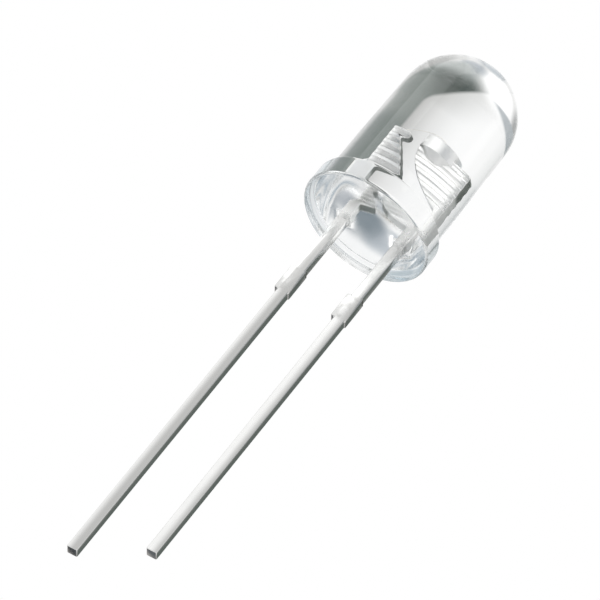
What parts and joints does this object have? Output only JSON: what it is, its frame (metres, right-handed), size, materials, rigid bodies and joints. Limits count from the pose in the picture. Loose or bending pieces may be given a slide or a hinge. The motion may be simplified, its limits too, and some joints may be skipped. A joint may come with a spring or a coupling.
{
  "type": "through hole led",
  "caption": "Round clear light-emitting diode with a domed lens, a collar and two straight square leads for a circuit board.",
  "frame": {"origin": "centre of the flat seating face under the flange", "axes": "+Z along the optical axis out of the dome, +X from the anode lead to the cathode lead"},
  "size_m": [0.0056, 0.0056, 0.0282],
  "materials": {
    "clear_epoxy": "polished",
    "tinned_lead": "satin",
    "silver_adhesive": "matte",
    "chip": "polished",
    "gold_wire": "polished"
  },
  "bodies": {
    "root": {"epoxy_lens": "clear_epoxy", "cathode_lead": "tinned_lead", "anode_lead": "tinned_lead", "die_attach": "silver_adhesive", "led_chip": "chip", "bond_wire": "gold_wire"}
  },
  "joints": []
}
